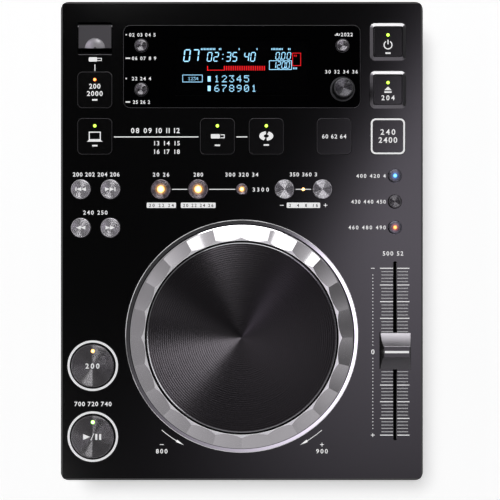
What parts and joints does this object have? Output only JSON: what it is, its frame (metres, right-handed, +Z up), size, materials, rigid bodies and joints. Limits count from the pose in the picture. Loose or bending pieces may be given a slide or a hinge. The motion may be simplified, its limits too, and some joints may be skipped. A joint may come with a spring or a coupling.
{
  "type": "disc player",
  "caption": "Tabletop DJ disc player with a slot-loading drive, faceted jog dial, tempo fader, lit keys, display window and select knob.",
  "frame": {"origin": "middle of the underside, at the bottom of the feet, centred on the overall box", "axes": "+X to the player's right, +Y to its rear where the sockets are, +Z up"},
  "size_m": [0.2178, 0.296, 0.1075],
  "materials": {
    "case_plastic": "satin black moulding",
    "panel_plastic": "gloss black",
    "tray_steel": "powder-coated black sheet",
    "rubber": "matt",
    "screw_steel": "bright zinc",
    "window": "smoked, glossy",
    "display_glass": "dark display glass",
    "trim_chrome": "polished",
    "socket_steel": "nickel",
    "socket_plastic": "pale",
    "inlet_plastic": "black",
    "circuit_board": "green solder mask",
    "power_board": "tan board",
    "switch_plastic": "pale",
    "dial_metal": "polished finger facets over a satin wall",
    "plate_disc": "black anodised with fine turned grooves",
    "fader_plastic": "satin metallic grey",
    "door_plastic": "grey",
    "knob_plastic": "fine ribbed, dark grey",
    "key_plastic": "satin black",
    "button_metal": "spun, dark",
    "drive_steel": "galvanised",
    "motor_steel": "plain",
    "drive_plastic": "black"
  },
  "bodies": {
    "chassis": {"top_cover": "case_plastic", "base_tray": "tray_steel", "front_panel": "panel_plastic", "rear_panel": "tray_steel", "rubber_feet": "rubber", "fasteners": "screw_steel", "display_window": "window", "display_module": "display_glass", "trim_rings": "trim_chrome", "usb_port": "socket_steel", "output_jacks": "socket_steel", "link_port": "socket_plastic", "mains_inlet": "inlet_plastic", "key_board": "circuit_board", "key_switches": "switch_plastic", "main_board": "circuit_board", "power_board": "power_board", "jog_pedestal": "drive_steel", "fader_track": "drive_steel", "drive_tray": "drive_steel", "drive_cover": "drive_steel", "spindle_motor": "motor_steel", "loading_motor": "motor_steel", "sled_rods": "screw_steel"},
    "jog_dial": {"jog_dial": "dial_metal"},
    "jog_plate": {"jog_plate": "plate_disc"},
    "tempo_fader": {"fader_lever": "screw_steel", "fader_cap": "fader_plastic"},
    "usb_door": {"usb_door": "door_plastic"},
    "select_plunger": {"select_plunger": "screw_steel"},
    "select_knob": {"select_knob": "knob_plastic"},
    "turntable": {"turntable": "drive_plastic"},
    "clamp_disc": {"clamp_disc": "drive_plastic"},
    "feed_roller": {"feed_roller": "rubber"},
    "pickup_sled": {"pickup_sled": "drive_plastic"},
    "time_mode_button": {"time_mode_button": "button_metal"},
    "display_button": {"display_button": "button_metal"},
    "back_button": {"back_button": "button_metal"},
    "usb_stop_button": {"usb_stop_button": "key_plastic"},
    "pc_source_button": {"pc_source_button": "key_plastic"},
    "usb_source_button": {"usb_source_button": "key_plastic"},
    "disc_source_button": {"disc_source_button": "key_plastic"},
    "playlist_button": {"playlist_button": "key_plastic"},
    "bpm_lock_button": {"bpm_lock_button": "key_plastic"},
    "power_button": {"power_button": "key_plastic"},
    "eject_button": {"eject_button": "key_plastic"},
    "track_back_button": {"track_back_button": "button_metal"},
    "track_forward_button": {"track_forward_button": "button_metal"},
    "search_back_button": {"search_back_button": "button_metal"},
    "search_forward_button": {"search_forward_button": "button_metal"},
    "loop_in_button": {"loop_in_button": "button_metal"},
    "loop_out_button": {"loop_out_button": "button_metal"},
    "reloop_button": {"reloop_button": "button_metal"},
    "beat_minus_button": {"beat_minus_button": "button_metal"},
    "beat_plus_button": {"beat_plus_button": "button_metal"},
    "vinyl_mode_button": {"vinyl_mode_button": "button_metal"},
    "tempo_range_button": {"tempo_range_button": "button_metal"},
    "master_tempo_button": {"master_tempo_button": "button_metal"},
    "cue_button": {"cue_button": "button_metal"},
    "play_button": {"play_button": "button_metal"}
  },
  "joints": [
    {"name": "jog_spin", "type": "hinge", "parent": "chassis", "child": "jog_dial", "pos_m": [0, -0.0612, 0.0905], "axis": [0, 0, 1], "continuous": true},
    {"name": "jog_press", "type": "slide", "parent": "jog_dial", "child": "jog_plate", "axis": [0, 0, -1], "range_m": [0, 0.0005], "stiffness_N_per_m": 600, "springref_m": -0.003},
    {"name": "tempo_slide", "type": "slide", "parent": "chassis", "child": "tempo_fader", "axis": [0, 1, 0], "range_m": [-0.05, 0.05]},
    {"name": "usb_door_hinge", "type": "hinge", "parent": "chassis", "child": "usb_door", "pos_m": [-0.08835, 0.12535, 0.0895], "axis": [-1, 0, 0], "range_deg": [0, 95]},
    {"name": "select_press", "type": "slide", "parent": "chassis", "child": "select_plunger", "axis": [0, 0, -1], "range_m": [0, 0.0006], "stiffness_N_per_m": 300, "springref_m": -0.002},
    {"name": "select_turn", "type": "hinge", "parent": "select_plunger", "child": "select_knob", "pos_m": [0.0605, 0.0872, 0.0905], "axis": [0, 0, 1], "continuous": true},
    {"name": "turntable_spin", "type": "hinge", "parent": "chassis", "child": "turntable", "pos_m": [0, -0.072, 0.0402], "axis": [0, 0, 1], "continuous": true},
    {"name": "clamp_spin", "type": "hinge", "parent": "chassis", "child": "clamp_disc", "pos_m": [0, -0.072, 0.05], "axis": [0, 0, 1], "continuous": true},
    {"name": "roller_spin", "type": "hinge", "parent": "chassis", "child": "feed_roller", "pos_m": [0, -0.137, 0.04], "axis": [1, 0, 0], "continuous": true},
    {"name": "sled_slide", "type": "slide", "parent": "chassis", "child": "pickup_sled", "axis": [0, 1, 0], "range_m": [0, 0.035]},
    {"name": "time_mode_press", "type": "slide", "parent": "chassis", "child": "time_mode_button", "axis": [0, 0, -1], "range_m": [0, 0.0008], "stiffness_N_per_m": 300, "springref_m": -0.002},
    {"name": "display_press", "type": "slide", "parent": "chassis", "child": "display_button", "axis": [0, 0, -1], "range_m": [0, 0.0008], "stiffness_N_per_m": 300, "springref_m": -0.002},
    {"name": "back_press", "type": "slide", "parent": "chassis", "child": "back_button", "axis": [0, 0, -1], "range_m": [0, 0.0008], "stiffness_N_per_m": 300, "springref_m": -0.002},
    {"name": "usb_stop_press", "type": "slide", "parent": "chassis", "child": "usb_stop_button", "axis": [0, 0, -1], "range_m": [0, 0.0008], "stiffness_N_per_m": 300, "springref_m": -0.002},
    {"name": "pc_source_press", "type": "slide", "parent": "chassis", "child": "pc_source_button", "axis": [0, 0, -1], "range_m": [0, 0.0008], "stiffness_N_per_m": 300, "springref_m": -0.002},
    {"name": "usb_source_press", "type": "slide", "parent": "chassis", "child": "usb_source_button", "axis": [0, 0, -1], "range_m": [0, 0.0008], "stiffness_N_per_m": 300, "springref_m": -0.002},
    {"name": "disc_source_press", "type": "slide", "parent": "chassis", "child": "disc_source_button", "axis": [0, 0, -1], "range_m": [0, 0.0008], "stiffness_N_per_m": 300, "springref_m": -0.002},
    {"name": "playlist_press", "type": "slide", "parent": "chassis", "child": "playlist_button", "axis": [0, 0, -1], "range_m": [0, 0.0008], "stiffness_N_per_m": 300, "springref_m": -0.002},
    {"name": "bpm_lock_press", "type": "slide", "parent": "chassis", "child": "bpm_lock_button", "axis": [0, 0, -1], "range_m": [0, 0.0008], "stiffness_N_per_m": 300, "springref_m": -0.002},
    {"name": "power_press", "type": "slide", "parent": "chassis", "child": "power_button", "axis": [0, 0, -1], "range_m": [0, 0.0008], "stiffness_N_per_m": 300, "springref_m": -0.002},
    {"name": "eject_press", "type": "slide", "parent": "chassis", "child": "eject_button", "axis": [0, 0, -1], "range_m": [0, 0.0008], "stiffness_N_per_m": 300, "springref_m": -0.002},
    {"name": "track_back_press", "type": "slide", "parent": "chassis", "child": "track_back_button", "axis": [0, 0, -1], "range_m": [0, 0.0008], "stiffness_N_per_m": 300, "springref_m": -0.002},
    {"name": "track_forward_press", "type": "slide", "parent": "chassis", "child": "track_forward_button", "axis": [0, 0, -1], "range_m": [0, 0.0008], "stiffness_N_per_m": 300, "springref_m": -0.002},
    {"name": "search_back_press", "type": "slide", "parent": "chassis", "child": "search_back_button", "axis": [0, 0, -1], "range_m": [0, 0.0008], "stiffness_N_per_m": 300, "springref_m": -0.002},
    {"name": "search_forward_press", "type": "slide", "parent": "chassis", "child": "search_forward_button", "axis": [0, 0, -1], "range_m": [0, 0.0008], "stiffness_N_per_m": 300, "springref_m": -0.002},
    {"name": "loop_in_press", "type": "slide", "parent": "chassis", "child": "loop_in_button", "axis": [0, 0, -1], "range_m": [0, 0.0008], "stiffness_N_per_m": 300, "springref_m": -0.002},
    {"name": "loop_out_press", "type": "slide", "parent": "chassis", "child": "loop_out_button", "axis": [0, 0, -1], "range_m": [0, 0.0008], "stiffness_N_per_m": 300, "springref_m": -0.002},
    {"name": "reloop_press", "type": "slide", "parent": "chassis", "child": "reloop_button", "axis": [0, 0, -1], "range_m": [0, 0.0008], "stiffness_N_per_m": 300, "springref_m": -0.002},
    {"name": "beat_minus_press", "type": "slide", "parent": "chassis", "child": "beat_minus_button", "axis": [0, 0, -1], "range_m": [0, 0.0008], "stiffness_N_per_m": 300, "springref_m": -0.002},
    {"name": "beat_plus_press", "type": "slide", "parent": "chassis", "child": "beat_plus_button", "axis": [0, 0, -1], "range_m": [0, 0.0008], "stiffness_N_per_m": 300, "springref_m": -0.002},
    {"name": "vinyl_mode_press", "type": "slide", "parent": "chassis", "child": "vinyl_mode_button", "axis": [0, 0, -1], "range_m": [0, 0.0008], "stiffness_N_per_m": 300, "springref_m": -0.002},
    {"name": "tempo_range_press", "type": "slide", "parent": "chassis", "child": "tempo_range_button", "axis": [0, 0, -1], "range_m": [0, 0.0008], "stiffness_N_per_m": 300, "springref_m": -0.002},
    {"name": "master_tempo_press", "type": "slide", "parent": "chassis", "child": "master_tempo_button", "axis": [0, 0, -1], "range_m": [0, 0.0008], "stiffness_N_per_m": 300, "springref_m": -0.002},
    {"name": "cue_press", "type": "slide", "parent": "chassis", "child": "cue_button", "axis": [0, 0, -1], "range_m": [0, 0.0008], "stiffness_N_per_m": 300, "springref_m": -0.002},
    {"name": "play_press", "type": "slide", "parent": "chassis", "child": "play_button", "axis": [0, 0, -1], "range_m": [0, 0.0008], "stiffness_N_per_m": 300, "springref_m": -0.002}
  ]
}
